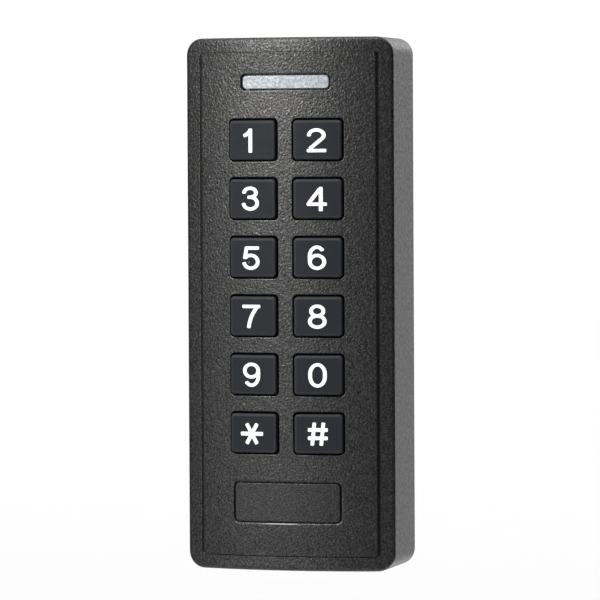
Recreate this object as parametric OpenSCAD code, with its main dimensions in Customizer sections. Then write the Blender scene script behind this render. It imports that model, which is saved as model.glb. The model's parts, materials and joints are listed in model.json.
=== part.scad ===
// Slim wall-mounted access reader with a twelve-key pad, a status light bar and a blank badge.
// X runs across the reader, Z runs up it and the front looks along -Y.
// The origin is the centre of the cable entry, on the plane of the wall.

/* [Body] */
// Height of the front cover
body_h = 125; // [124.6:0.1:126]
// Width of the front cover
body_w = 50.4; // [50:0.1:51]
// Depth of the side walls, from the wall to where the crowned face starts
side_d = 19; // [19:0.1:20]
// Radius of the crowned front face, about a vertical axis behind the wall
crown_r = 79; // [78:0.5:82]
// Radius of the four outer corners, seen from the front
corner_r = 4; // [3.8:0.1:4.5]
// Rounding of the edge between the front face and the sides
edge_r = 1.2; // [0.8:0.1:1.5]
// Thickness of the front wall
front_t = 2.4; // [2.2:0.1:2.5]
// Thickness of the side walls behind the ledge for the rear cover
wall_t = 2.4; // [2.2:0.1:2.5]
// Width of the ledge that the rear cover rests on
ledge_w = 1.2; // [1.1:0.1:1.3]

/* [Line groove] */
// Distance of the groove from the sides
groove_side = 3.7; // [3.5:0.1:4]
// Distance of the groove from the top and the bottom
groove_end = 3.4; // [3.2:0.1:3.8]
// Width of the groove
groove_w = 0.45; // [0.3:0.05:0.6]
// Depth of the groove
groove_d = 0.35; // [0.2:0.05:0.5]

/* [Keys] */
// Width of a key cap
key_w = 11.4; // [11:0.1:11.5]
// Height of a key cap
key_h = 9.2; // [8.8:0.1:9.3]
// Gap all round a key cap
key_gap = 0.4; // [0.3:0.05:0.45]
// Distance between the two columns
column_pitch = 15.78; // [15.7:0.02:15.9]
// Distance between two rows
row_pitch = 13.74; // [13.7:0.02:13.8]
// Height of the top row above the origin
top_row_z = 38.5; // [38.4:0.1:38.6]
// How far a key stands proud of the face
key_proud = 0.8; // [0.4:0.1:1]
// How far a key travels when it is pressed
key_travel = 0.8; // [0.6:0.1:0.9]

/* [Light bar and badge] */
// Width of the light bar's opening
bar_w = 21.7; // [21:0.1:22]
// Height of the light bar's opening
bar_h = 3.85; // [3.6:0.05:4]
// Height of the light bar above the origin
bar_z = 52.05; // [51.9:0.05:52.2]
// Gap all round the light bar's lens
bar_gap = 0.4; // [0.2:0.05:0.45]
// Width of the badge's recess
badge_w = 26.1; // [25:0.1:27]
// Height of the badge's recess
badge_h = 9.55; // [9:0.05:9.8]
// Height of the badge's centre, below the origin
badge_z = -46.45; // [-46.6:0.05:-46.3]
// Gap all round the badge
badge_gap = 0.27; // [0.2:0.01:0.35]

/* [Wall mounting] */
// Distance between the outer pair of wall screws, as on a single-gang box
gang_pitch = 83.3; // [83:0.1:84]
// Distance between the inner pair of wall screws, as on a round box
box_pitch = 60; // [59:0.1:61]
// Radius of a wall screw's hole
wall_hole_r = 2.2; // [2:0.1:2.4]
// Radius of the cable opening in the mounting plate
cable_hole_r = 8; // [7:0.5:9]
// Radius of the grommet's bore, which holds the cable
cable_r = 3.1; // [2.8:0.1:3.4]
// Thickness of the mounting plate
plate_t = 2.4; // [2.2:0.1:2.5]

/* [Hidden] */

$fn = 96;
crown_fn = 720;
tall = body_h + 10;
deep = 40;

// Planes across the reader, as distances along Y
crown_y = sqrt(crown_r * crown_r - body_w * body_w / 4) - side_d;
board_front = -15.6;
board_t = 1.6;
board_back = board_front + board_t;
mat_front = board_front - 1.2;
flange_back = mat_front - key_travel - 0.7;
lens_back = -19;
ledge_y = -8.2;
rear_t = 2.2;
rear_y = ledge_y + rear_t;

// Half sizes of the cover's inside, in front of the ledge and behind it
inner_w = body_w / 2 - wall_t - ledge_w;
inner_h = body_h / 2 - wall_t - ledge_w;
back_w = body_w / 2 - wall_t;
back_h = body_h / 2 - wall_t;

// The keypad's flanges, the rib round them and the mat behind
flange_w = 13.4;
flange_h = 11.4;
flange_gap = 0.3;
plunger_r = 2.2;
bottom_row_z = top_row_z - 5 * row_pitch;
pad_z = (top_row_z + bottom_row_z) / 2;
rib_t = 1;
rib_w = column_pitch + flange_w + 1.6;
rib_h = 5 * row_pitch + flange_h + 1.4;
mat_w = rib_w + 2 * rib_t + 0.4;
mat_h = rib_h + 2 * rib_t + 0.4;
window_w = 10.4;
window_h = 8.2;
dome_r = 2.5;
dome_rise = 0.35;
dome_t = 0.12;
plunger_back = board_front - dome_rise - key_travel - 0.15;
key_led_x = 4;
key_led = [0.8, 0.5, 1.6];

// The antenna coil, wound flat round the mat
coil_gap = 0.4;
coil_band = 1.8;
coil_t = 1;

// Screw places, as [x, z]
board_screw_x = 17.4;
board_screw_top = 50.7;
board_screw_bottom = -43;
board_screws_at = [
    for (x = [-board_screw_x, board_screw_x], z = [board_screw_bottom, board_screw_top]) [x, z]
];
rear_screw_x = 17.6;
rear_screw_z = 56.1;
rear_screws_at = [for (x = [-rear_screw_x, rear_screw_x], z = [-rear_screw_z, rear_screw_z]) [x, z]];
screw_r = 1.1;
pilot_r = screw_r + 0.03;
clear_r = screw_r + 0.2;
head_r = 2;
head_t = 1.3;
board_boss_r = 2.2;
rear_boss_r = 2.6;

// Status light bar
lens_recess = 0.35;
lens_flange_w = bar_w + 1.9;
lens_flange_h = bar_h + 1.5;
guide_w = bar_w - 0.5;
guide_h = bar_h + 0.15;
shroud_t = 1.3;
guide_t = 2.2;
status_led_x = [-8, -4, 0, 4, 8];
status_led = [2.8, 0.9, 2.8];

// Badge
badge_deep = 1.25;
badge_tape = 0.2;

// Security screw, which holds the reader to its plate from below
security_y = -3.2;
security_r = 1.25;
security_head_r = 2.2;
security_head_t = 1.1;
security_boss = [9, 5.6, 6.6];
plate_gap = 0.4;
wall_head_r = 4.1;
rear_gap = 0.25;

// Hooks at the plate's top edge
hook_x = 10;
hook_w = 8;
hook_t = 1.6;
hook_y = -5;
hook_reach = 1;
hook_gap = 0.3;

// Parts on the board's back: places as [x, z], sizes as [across, up, off the board]
controller_at = [-9, 28];
controller_size = [10, 10, 1.4];
controller_legs = 11;
controller_pitch = 0.8;
radio_at = [10, 27];
radio_size = [6, 6, 0.9];
bluetooth_at = [0, -38];
bluetooth_size = [13, 18, 0.8];
shield_at = [0, -40];
shield_size = [11, 12, 1.9];
shield_t = 0.2;
crystals_at = [[-1.6, 36.5], [13, 36.5]];
crystal_size = [3.2, 2.5, 0.9];
regulator_at = [-14, -2];
regulator_size = [4, 5, 1.5];
regulator_pitch = 1.27;
inductor_at = [-14, -10];
inductor_size = [6, 6, 3];
capacitors_at = [[-15, -20], [-15, -28], [15, 7]];
capacitor_base = [6.6, 6.6, 0.8];
capacitor_r = 3.15;
capacitor_t = 4.4;
surge_at = [for (z = [-12:4:0]) [13, z]];
surge_size = [4.4, 2.6, 2];
resistors_at = [for (row = [0:3], column = [0:5]) [-7.5 + 3 * column, -12 - 2.2 * row]];
resistor_size = [1.6, 0.8, 0.5];
buzzer_at = [-11.5, 40.5];
buzzer_r = 5.2;
buzzer_t = 4.4;
header_at = [0, 16];
header_size = [27, 5.8, 4.4];
header_floor = 0.8;
header_pins_n = 10;
header_pitch = 2.5;
pin_w = 0.64;
pin_t = 3.2;
tamper_at = [12, -26];
tamper_size = [4, 3.2, 2.4];
window_r = 2.4;
ferrite_t = 0.3;

// Seal in the rear cover's edge, and the grommet in its middle
seal_w = 0.9;
seal_t = 0.7;
grommet_r = 6.2;
grommet_neck_r = 4.6;
grommet_lip = 1.1;
nose_t = 3;

// ---------- shapes that repeat ----------

// An outline in the X-Z plane, filled from y0 back to y1
module slab(y0, y1) {
    translate([0, y1, 0]) rotate([90, 0, 0]) linear_extrude(y1 - y0) children();
}

// A rectangle with round corners
module rounded(w, h, r) {
    union() {
        square([w - 2 * r, h], center = true);
        square([w, h - 2 * r], center = true);
        for (x = [-1, 1], z = [-1, 1]) translate([x * (w / 2 - r), z * (h / 2 - r)]) circle(r);
    }
}

// A band of width t just outside a w by h outline
module band(w, h, r, t) {
    difference() {
        rounded(w + 2 * t, h + 2 * t, r + t);
        rounded(w, h, r);
    }
}

// Everything within radius r of the crown's axis
module crown(r) {
    translate([0, crown_y, -tall / 2]) cylinder(r = r, h = tall, $fn = crown_fn);
}

// The front part of an outline, bounded by the crowned surface of radius r and the plane y1
module crowned_slab(r, y1) {
    intersection() {
        slab(-deep, y1) children();
        crown(r);
    }
}

// A layer of an outline between two crowned surfaces
module crowned_layer(r0, r1) {
    difference() {
        crowned_slab(r1, -deep / 3) children();
        crown(r0);
    }
}

// A round post or hole along Y
module post(x, z, r, y0, y1) {
    translate([x, y1, z]) rotate([90, 0, 0]) cylinder(r = r, h = y1 - y0);
}

// A block on the board's back, lifted off it by a gap
module on_back(at, size, lift = 0) {
    translate([at[0] - size[0] / 2, board_back + lift, at[1] - size[1] / 2])
        cube([size[0], size[2], size[1]]);
}

// A small screw along Y whose head starts at y0 and whose shank ends at y1
module small_screw(x, z, y0, length) {
    difference() {
        union() {
            post(x, z, head_r, y0 - head_t, y0);
            post(x, z, screw_r, y0 - head_t - length, y0 - head_t);
        }
        cross_recess(x, z, y0);
    }
}

// The cross-shaped driver recess of a small screw
module cross_recess(x, z, y0) {
    blade = 0.5;
    for (size = [[blade, 2.2], [2.2, blade]])
        translate([x - size[0] / 2, y0 - 0.7, z - size[1] / 2]) cube([size[0], 1, size[1]]);
}

// ---------- front cover ----------

// The cover's outside: outline, crowned face and rounded edges
module cover_form() {
    axis_to_edge = body_w / 2 - edge_r;
    side_edge_y = crown_y - sqrt(pow(crown_r - edge_r, 2) - axis_to_edge * axis_to_edge);
    tangent_x = axis_to_edge * crown_r / (crown_r - edge_r);
    intersection() {
        slab(-deep, 0) rounded(body_w, body_h, corner_r);
        // plan view: the crown runs into a round edge at each side
        translate([0, 0, -tall / 2]) linear_extrude(tall) union() {
            intersection() {
                translate([0, crown_y]) circle(crown_r, $fn = crown_fn);
                translate([-tangent_x, -deep]) square([2 * tangent_x, deep]);
            }
            translate([-body_w / 2, side_edge_y]) square([body_w, -side_edge_y]);
            for (x = [-1, 1]) translate([x * axis_to_edge, side_edge_y]) circle(edge_r);
        }
        // the same round edge follows the crown along the top and the bottom
        translate([0, crown_y, 0]) rotate_extrude($fn = crown_fn) union() {
            translate([0, -body_h / 2]) square([crown_r - edge_r, body_h]);
            translate([0, -body_h / 2 + edge_r]) square([crown_r, body_h - 2 * edge_r]);
            for (z = [-1, 1]) translate([crown_r - edge_r, z * (body_h / 2 - edge_r)]) circle(edge_r);
        }
    }
}

module cover_inside() {
    crowned_slab(crown_r - front_t, ledge_y + 0.01) rounded(2 * inner_w, 2 * inner_h, 1);
    slab(ledge_y, 1) rounded(2 * back_w, 2 * back_h, corner_r - wall_t);
}

// Posts and ribs that grow back from the front wall
module cover_ribs() {
    crowned_slab(crown_r - 1, board_front)
        for (at = board_screws_at) translate(at) circle(board_boss_r);
    crowned_slab(crown_r - 1, ledge_y)
        for (at = rear_screws_at) translate(at) circle(rear_boss_r);
    crowned_slab(crown_r - 1, mat_front)
        translate([0, pad_z]) band(rib_w, rib_h, 1, rib_t);
}

module front_cover() {
    color("#3d3c3b") difference() {
        union() {
            difference() {
                cover_form();
                cover_inside();
            }
            cover_ribs();
        }
        for (row = [0:5], side = [-1, 1])
            translate([side * column_pitch / 2, 0, top_row_z - row * row_pitch])
                slab(-deep, -deep / 3) rounded(key_w + 2 * key_gap, key_h + 2 * key_gap, 1.1);
        translate([0, 0, bar_z]) slab(-deep, -deep / 3) rounded(bar_w, bar_h, 1);
        translate([0, 0, badge_z]) difference() {
            slab(-deep, -deep / 3) rounded(badge_w, badge_h, 1.2);
            crown(crown_r - badge_deep);
        }
        difference() {
            slab(-deep, -deep / 3)
                band(body_w - 2 * groove_side - groove_w, body_h - 2 * groove_end - groove_w, 0.4, groove_w);
            crown(crown_r - groove_d);
        }
        for (at = board_screws_at) post(at[0], at[1], pilot_r, board_front - 4, board_front + 1);
        for (at = rear_screws_at) post(at[0], at[1], pilot_r, ledge_y - 7, ledge_y + 1);
        hook_pockets();
        security_hole();
    }
}

// Pockets in the top wall that the plate's hooks enter
module hook_pockets() {
    for (x = [-hook_x, hook_x])
        translate([x - hook_w / 2 - hook_gap, hook_y - hook_gap, back_h - 1])
            cube([hook_w + 2 * hook_gap, hook_t + 2 * hook_gap, hook_reach + 1 + hook_gap]);
}

// Hole for the security screw through the bottom wall, with a seat for its head
module security_hole() {
    translate([0, security_y, -body_h / 2 - 1]) {
        cylinder(r = security_r + 0.25, h = wall_t + 2);
        cylinder(r = security_head_r + 0.2, h = security_head_t + 1.1);
    }
}

// ---------- light bar and badge ----------

module led_lens() {
    color("#c4cfdc") translate([0, 0, bar_z]) {
        crowned_slab(crown_r - lens_recess, lens_back)
            rounded(bar_w - 2 * bar_gap, bar_h - 2 * bar_gap, 0.9);
        crowned_slab(crown_r - front_t, lens_back) rounded(lens_flange_w, lens_flange_h, 1);
    }
}

module light_guide() {
    color("#dfe6ee") translate([0, 0, bar_z])
        slab(lens_back, lens_back + guide_t) rounded(guide_w, guide_h, 0.5);
}

module light_shroud() {
    color("#1b1b1b") translate([0, 0, bar_z])
        slab(lens_back, board_front) band(guide_w, guide_h, 0.5, shroud_t);
}

// Lamps with a round well in front of the chip
module status_leds() {
    color("#f0f2ee") for (x = status_led_x) difference() {
        translate([x - status_led[0] / 2, board_front - status_led[1], bar_z - status_led[2] / 2])
            cube(status_led);
        post(x, bar_z, 1.1, board_front - 2, board_front - 0.6);
    }
}

module badge_plate() {
    color("#393938") translate([0, 0, badge_z])
        crowned_layer(crown_r - badge_deep + badge_tape, crown_r - 0.04)
            rounded(badge_w - 2 * badge_gap, badge_h - 2 * badge_gap, 0.95);
}

module badge_adhesive() {
    color("#e8e6dc") translate([0, 0, badge_z])
        crowned_layer(crown_r - badge_deep, crown_r - badge_deep + badge_tape)
            rounded(badge_w - 2, badge_h - 2, 0.8);
}

// ---------- keypad ----------

// One key: a crowned cap in its opening, a flange behind the cover and a plunger over its dome
module key_cap(row, side) {
    at = [side * column_pitch / 2, top_row_z - row * row_pitch];
    color("#333a42") {
        crowned_slab(crown_r + key_proud, flange_back) translate(at) rounded(key_w, key_h, 0.8);
        crowned_slab(crown_r - front_t - flange_gap, flange_back)
            translate(at) rounded(flange_w, flange_h, 1.2);
        post(at[0], at[1], plunger_r, flange_back - 0.5, plunger_back);
    }
}

module key_1() { key_cap(0, -1); }
module key_2() { key_cap(0, 1); }
module key_3() { key_cap(1, -1); }
module key_4() { key_cap(1, 1); }
module key_5() { key_cap(2, -1); }
module key_6() { key_cap(2, 1); }
module key_7() { key_cap(3, -1); }
module key_8() { key_cap(3, 1); }
module key_9() { key_cap(4, -1); }
module key_0() { key_cap(4, 1); }
module key_star() { key_cap(5, -1); }
module key_hash() { key_cap(5, 1); }

// Places each child behind every key
module behind_keys() {
    for (row = [0:5], side = [-1, 1])
        translate([side * column_pitch / 2, 0, top_row_z - row * row_pitch]) children();
}

// Silicone sheet that seals the keypad against the rib and leaves a window behind each key
module keypad_mat() {
    color("#4a4f55") difference() {
        translate([0, 0, pad_z]) slab(mat_front, board_front) rounded(mat_w, mat_h, 1.5);
        behind_keys() slab(mat_front - 1, board_front + 1) rounded(window_w, window_h, 1.5);
    }
}

// Thin steel domes that click under the plungers
module snap_domes() {
    flat_r = 1.5;
    color("silver") behind_keys() translate([0, board_front, 0]) rotate([90, 0, 0]) rotate_extrude()
        polygon([
            [0, dome_rise], [flat_r, dome_rise], [dome_r, dome_t], [dome_r, 0],
            [dome_r - dome_t, 0], [flat_r, dome_rise - dome_t], [0, dome_rise - dome_t]
        ]);
}

module key_leds() {
    color("#f2f0e2") behind_keys()
        translate([key_led_x - key_led[0] / 2, board_front - key_led[1], -key_led[2] / 2]) cube(key_led);
}

// ---------- electronics ----------

module antenna_coil() {
    color("#b5703a") translate([0, 0, pad_z]) slab(board_front - coil_t, board_front)
        band(mat_w + 2 * coil_gap, mat_h + 2 * coil_gap, 2, coil_band);
}

module main_board() {
    color("#1f5a3c") difference() {
        slab(board_front, board_back) difference() {
            rounded(42, 115, 1);
            // corner notches round the long posts
            for (x = [-1, 1], z = [-1, 1]) translate([x * 19, z * 56]) square([8.4, 6.4], center = true);
        }
        for (at = board_screws_at) post(at[0], at[1], clear_r, board_front - 1, board_back + 1);
    }
}

module board_screws() {
    color("#b9bbbd") for (at = board_screws_at) small_screw(at[0], at[1], board_back + head_t, 5);
}

// A square chip with legs on all four sides and a dimple at its first leg
module controller_chip() {
    half = controller_size[0] / 2;
    color("#202124") difference() {
        union() {
            on_back(controller_at, controller_size, 0.1);
            for (turn = [0:90:270], leg = [0:controller_legs - 1])
                translate([controller_at[0], board_back, controller_at[1]]) rotate([0, turn, 0])
                    translate([(leg - (controller_legs - 1) / 2) * controller_pitch - 0.15, 0, half - 0.2])
                        cube([0.3, 0.4, 1.2]);
        }
        chip_dimple(controller_at, controller_size, 0.5);
    }
}

// The dimple that marks a chip's first leg
module chip_dimple(at, size, r) {
    inset = 1.3;
    post(at[0] - size[0] / 2 + inset, at[1] + size[1] / 2 - inset, r,
        board_back + size[2] - 0.2, board_back + size[2] + 1);
}

module radio_chip() {
    color("#202124") difference() {
        on_back(radio_at, radio_size);
        chip_dimple(radio_at, radio_size, 0.3);
    }
}

module bluetooth_module() {
    color("#274a6b") on_back(bluetooth_at, bluetooth_size);
}

// Thin metal can over the radio module's parts
module module_shield() {
    inside = [shield_size[0] - 2 * shield_t, shield_size[1] - 2 * shield_t, shield_size[2]];
    color("#c9ccd0") difference() {
        on_back(shield_at, shield_size, bluetooth_size[2]);
        on_back(shield_at, inside, bluetooth_size[2] - shield_t);
    }
}

// Metal-cased crystals of the controller and the radio
module crystals() {
    color("#cfd1d2") for (at = crystals_at) on_back(at, crystal_size);
}

module regulator_chip() {
    color("#202124") {
        on_back(regulator_at, regulator_size);
        for (side = [-1, 1], leg = [-1.5:1.5])
            on_back(regulator_at + [side * 2.5, leg * regulator_pitch], [1.2, 0.42, 0.5]);
    }
}

module power_inductor() {
    color("#3b3836") difference() {
        on_back(inductor_at, inductor_size);
        post(inductor_at[0], inductor_at[1], 2.4, board_back + inductor_size[2] - 0.3, 0);
    }
}

// Round capacitors on square bases
module capacitors() {
    color("#b8babd") for (at = capacitors_at) {
        on_back(at, capacitor_base);
        post(at[0], at[1], capacitor_r, board_back + capacitor_base[2], board_back + capacitor_t);
    }
}

module surge_diodes() {
    color("#26272a") for (at = surge_at) on_back(at, surge_size);
}

module chip_resistors() {
    color("#2b2b2e") for (at = resistors_at) on_back(at, resistor_size);
}

// Sounder with a small port in its lid
module buzzer() {
    color("#17181a") difference() {
        post(buzzer_at[0], buzzer_at[1], buzzer_r, board_back, board_back + buzzer_t);
        post(buzzer_at[0], buzzer_at[1], 1, board_back + buzzer_t - 1, 0);
    }
}

// Open-topped header for the wall wires
module wire_header() {
    inside = [header_size[0] - 1.8, header_size[1] - 1.6, header_size[2]];
    color("#e6e2d4") difference() {
        on_back(header_at, header_size);
        on_back(header_at, inside, header_floor);
    }
}

module header_pins() {
    color("#d4b562") for (pin = [0:header_pins_n - 1])
        on_back(header_at + [(pin - (header_pins_n - 1) / 2) * header_pitch, 0],
            [pin_w, pin_w, pin_t], header_floor);
}

// Optical sensor that notices when the mounting plate is gone
module tamper_sensor() {
    color("#1d1d22") difference() {
        on_back(tamper_at, tamper_size);
        for (x = [-1, 1]) post(tamper_at[0] + x, tamper_at[1], 0.6, board_back + 2, 0);
    }
}

module ferrite_sheet() {
    color("#4b4a4c") slab(ledge_y - ferrite_t, ledge_y) difference() {
        rounded(38, 100, 1);
        circle(grommet_r + 0.8);
        translate(tamper_at) circle(window_r + 1.4);
    }
}

// ---------- rear cover and its seals ----------

// The rear cover's outline, drawn in by a margin
module rear_outline(margin) {
    rounded(2 * (back_w - rear_gap - margin), 2 * (back_h - rear_gap - margin), corner_r - wall_t - rear_gap);
}

module rear_cover() {
    panel_z = 36;
    color("#2c2c2c") difference() {
        slab(ledge_y, rear_y) rear_outline(0);
        // rebate for the seal along the edge
        slab(ledge_y - 1, ledge_y + seal_t) difference() {
            square([body_w, body_h], center = true);
            rear_outline(seal_w);
        }
        for (at = rear_screws_at) {
            post(at[0], at[1], clear_r, ledge_y - 1, rear_y + 1);
            post(at[0], at[1], head_r + 0.2, rear_y - head_t, rear_y + 1);
        }
        post(0, 0, grommet_neck_r, ledge_y - 1, rear_y + 1);
        post(tamper_at[0], tamper_at[1], window_r, ledge_y - 1, rear_y + 1);
        // shallow panels that save material
        for (z = [-panel_z, panel_z]) slab(rear_y - 0.6, rear_y + 1) difference() {
            translate([0, z]) rounded(30, 24, 2);
            translate(tamper_at) circle(window_r + 1.4);
        }
    }
}

module cover_gasket() {
    color("#8f9194") slab(ledge_y, ledge_y + seal_t) difference() {
        rear_outline(0);
        rear_outline(seal_w);
    }
}

module rear_cover_screws() {
    color("#b9bbbd") for (at = rear_screws_at) small_screw(at[0], at[1], rear_y, 7.5);
}

module tamper_window() {
    color("#7d2f35") {
        post(tamper_at[0], tamper_at[1], window_r - 0.05, ledge_y - 0.4, rear_y - 0.2);
        post(tamper_at[0], tamper_at[1], window_r + 1, ledge_y - 0.9, ledge_y);
    }
}

// Rubber grommet gripping the rear cover's edge, with a sealing nose towards the wall
module cable_grommet() {
    color("#222325") translate([0, ledge_y, 0]) rotate([-90, 0, 0]) difference() {
        union() {
            translate([0, 0, -grommet_lip]) cylinder(r = grommet_r, h = grommet_lip);
            cylinder(r = grommet_neck_r, h = rear_t);
            translate([0, 0, rear_t]) cylinder(r = grommet_r, h = grommet_lip);
            translate([0, 0, rear_t]) cylinder(r1 = grommet_r - 0.7, r2 = grommet_neck_r, h = nose_t);
        }
        translate([0, 0, -2]) cylinder(r = cable_r, h = 10);
    }
}

// ---------- wall side ----------

module mounting_plate() {
    plate_w = 2 * (back_w - plate_gap);
    plate_h = 2 * (back_h - plate_gap);
    hook_foot = 2.4;
    color("#36373a") difference() {
        union() {
            slab(-plate_t, 0) rounded(plate_w, plate_h, corner_r - wall_t - 0.3);
            // hooks: a foot that rises from the plate and a tip that reaches into the top wall
            for (x = [-hook_x, hook_x]) translate([x - hook_w / 2, hook_y, plate_h / 2 - hook_foot]) {
                cube([hook_w, -hook_y - plate_t + 0.1, hook_foot]);
                cube([hook_w, hook_t, hook_foot + plate_gap + hook_reach]);
            }
            translate([-security_boss[0] / 2, -security_boss[1], -plate_h / 2]) cube(security_boss);
        }
        post(0, 0, cable_hole_r, -plate_t - 1, 1);
        for (z = [-gang_pitch / 2, gang_pitch / 2, -box_pitch / 2, box_pitch / 2]) {
            post(0, z, wall_hole_r, -plate_t - 1, 1);
            post(0, z, wall_head_r, -plate_t - 1, -plate_t + 1);
        }
        // shallow channels that let the plate sit on an uneven wall
        for (x = [-1, 1]) translate([x * 15, 0, 0]) slab(-0.6, 1) rounded(6, 96, 2);
        translate([0, security_y, -plate_h / 2 - 1]) cylinder(r = security_r + 0.02, h = 7);
    }
}

// Tamper-proof screw: a low round head with a six-sided socket and a pin in it
module security_screw() {
    head_z = -body_h / 2 + 0.1;
    color("#c3c5c7") translate([0, security_y, head_z]) {
        difference() {
            union() {
                cylinder(r = security_head_r, h = security_head_t);
                cylinder(r = security_r, h = 7.5);
            }
            translate([0, 0, -1]) cylinder(r = 1.1, h = 1.8, $fn = 6);
        }
        cylinder(r = 0.35, h = 1);
    }
}

front_cover();
led_lens();
badge_plate();
badge_adhesive();
key_1();
key_2();
key_3();
key_4();
key_5();
key_6();
key_7();
key_8();
key_9();
key_0();
key_star();
key_hash();
keypad_mat();
snap_domes();
key_leds();
status_leds();
light_guide();
light_shroud();
antenna_coil();
main_board();
board_screws();
controller_chip();
radio_chip();
bluetooth_module();
module_shield();
crystals();
regulator_chip();
power_inductor();
capacitors();
surge_diodes();
chip_resistors();
buzzer();
wire_header();
header_pins();
tamper_sensor();
tamper_window();
ferrite_sheet();
rear_cover();
rear_cover_screws();
cover_gasket();
cable_grommet();
mounting_plate();
security_screw();
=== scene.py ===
"""Looks of the keypad access reader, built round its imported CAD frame.

Shapes are worked out in millimetres and turned into metres when a piece is made. X runs across the
reader, Z runs up it and the front looks along -Y, as in the frame.
"""
import json
import math

import bmesh
import bpy
import numpy as np
from mathutils import Matrix, Vector
from mathutils.geometry import delaunay_2d_cdt
from mathutils.kdtree import KDTree


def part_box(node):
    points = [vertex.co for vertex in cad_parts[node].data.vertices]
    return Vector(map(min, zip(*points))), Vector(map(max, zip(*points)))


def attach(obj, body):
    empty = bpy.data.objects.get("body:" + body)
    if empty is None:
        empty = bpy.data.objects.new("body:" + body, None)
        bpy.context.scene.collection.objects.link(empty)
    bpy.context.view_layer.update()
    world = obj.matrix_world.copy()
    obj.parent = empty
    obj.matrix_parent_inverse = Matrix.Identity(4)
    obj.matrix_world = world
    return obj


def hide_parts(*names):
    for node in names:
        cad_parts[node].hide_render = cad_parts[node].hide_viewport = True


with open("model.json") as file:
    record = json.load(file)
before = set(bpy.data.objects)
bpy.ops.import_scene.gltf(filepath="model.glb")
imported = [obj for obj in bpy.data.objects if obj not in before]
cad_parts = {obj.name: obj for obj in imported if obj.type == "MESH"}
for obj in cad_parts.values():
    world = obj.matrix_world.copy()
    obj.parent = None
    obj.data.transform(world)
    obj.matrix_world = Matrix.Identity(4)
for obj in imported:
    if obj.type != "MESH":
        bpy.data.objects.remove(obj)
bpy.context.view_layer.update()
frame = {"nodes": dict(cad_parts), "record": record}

MM = 0.001


def node_box(node):
    """A CAD node's corners in millimetres."""
    lo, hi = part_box(node)
    return lo / MM, hi / MM


def node_middle(node):
    """The middle of a CAD node as seen from the front, as (x, z) in millimetres."""
    lo, hi = node_box(node)
    return (lo.x + hi.x) / 2, (lo.z + hi.z) / 2


# ---------------------------------------------------------------- driving dimensions, in millimetres

# cover
COVER_LO, COVER_HI = node_box("front_cover")
WIDTH = COVER_HI.x - COVER_LO.x
HEIGHT = COVER_HI.z - COVER_LO.z
CROWN_R = 79.0
AXIS_Y = COVER_LO.y + CROWN_R
CORNER_R = 4.0
EDGE_R = 0.9
FRONT_T = 2.4
WALL_T = 2.4
LEDGE_W = 1.2
LEDGE_Y = -8.2
RIM_R = 0.3
ROOM_R = 1.0
# shallow sinks in the face, or a swell where the depth is negative: middle height, half width,
# half height and depth
SINKS = [(50.0, 15.0, 4.5, 0.16), (-35.5, 13.0, 4.5, 0.13), (-58.9, 22.0, 1.8, 0.15)]
SINKS += [(59.1, 22.0, 1.8, -0.08)]

# line groove: how far it lies from the sides and the ends, and how far to the right it sits
GROOVE_SIDE, GROOVE_END, GROOVE_SHIFT = 3.7, 3.4, 0.14
GROOVE_R = 0.9
# its half width and its depth on each side of the face
GROOVE_RIGHT, GROOVE_LEFT = (0.39, 0.66), (0.32, 0.34)
GROOVE_TOP, GROOVE_BOTTOM = (0.06, 0.1), (0.11, 0.25)
# one flank of its section, from the face to its middle, as shares of that half width and depth
GROOVE_FLANK = [(1.5, 0), (1.08, 0), (0.88, 0.1), (0.5, 0.52), (0.14, 0.94), (0, 1)]

# keys
KEY_W, KEY_H = 11.4, 9.2
KEY_R = 0.9
KEY_EDGE = 0.6
KEY_PROUD = 0.8
# gaps at the left and the right of a key, in the left and in the right column
SIDE_GAPS = [(0.22, 0.46), (0.4, 0.4)]
# gaps below and above every key
BOTTOM_GAP, TOP_GAP = 0.4, 0.48
KEY_HOLE_R = 1.1
KEY_HOLE_EDGE = 0.15
FLANGE_W, FLANGE_H = 13.4, 11.4
FLANGE_R = 1.2
FLANGE_GAP = 0.3
FLANGE_BACK = -18.3
PLUNGER_R = 2.2
PLUNGER_EDGE = 0.15
PIP_R = 0.34
PIP_FROM_CENTRE = (-0.75, -1.2)
PIP_SINK = 0.1
PIP_ROUND = 16

# printed legends: the ink stands this far off the key's face and reaches this far into it
INK_T, INK_SINK = 0.03, 0.05
# width and height of the oval nib that draws them
NIB = (0.92, 0.78)
NIBS = {"*": (0.92, 0.92), "#": (0.88, 0.88)}
NIB_SOFT = 0.26
LEGEND_SCALE = 0.965
# how far right of the key's middle they sit, in the left and in the right column
LEGEND_SHIFTS = (-0.32, -0.04)

# light bar
BAR_W, BAR_H = 21.7, 3.85
BAR_R = 1.0
BAR_EDGE = 0.2
BAR_GAP = 0.4
BAR_DROP = 0.35
LENS_R = 0.9
LENS_EDGE = 0.15
LENS_FLANGE_GAP = 0.02

# badge
BADGE_W, BADGE_H = 26.1, 9.55
BADGE_R = 1.2
BADGE_GAP = 0.3
BADGE_EDGE = 0.55
BADGE_DEEP = 1.25
# stretch of the recess's lower lip that is smooth, across the reader
BADGE_SMOOTH = (-5.2, 2.2)
INLAY_LIFT = -0.04
INLAY_T = 1.0
INLAY_R = 0.95
INLAY_EDGE = 0.12

# inside of the cover
RIB_T = 1.0
RIB_R = 2.0
MAT_MARGIN = 0.4
HEAD_R = 2.0
BOARD_POST_R, REAR_POST_R = 2.2, 2.6
PILOT_R = 1.13
PILOT_DEEP = 4.0

# security screw's stepped hole in the cover's bottom wall, and its bore in the plate
SEAT_MOUTH_R, SEAT_R, SEAT_DEEP = 2.55, 2.4, 2.0
SHANK_HOLE_R, SHANK_HOLE_DEEP = 1.5, 3.0
SCREW_BORE_R, SCREW_BORE_DEEP = 1.27, 6.2
# how far a cutter reaches out of what it cuts
OVERCUT = 1.0

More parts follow.
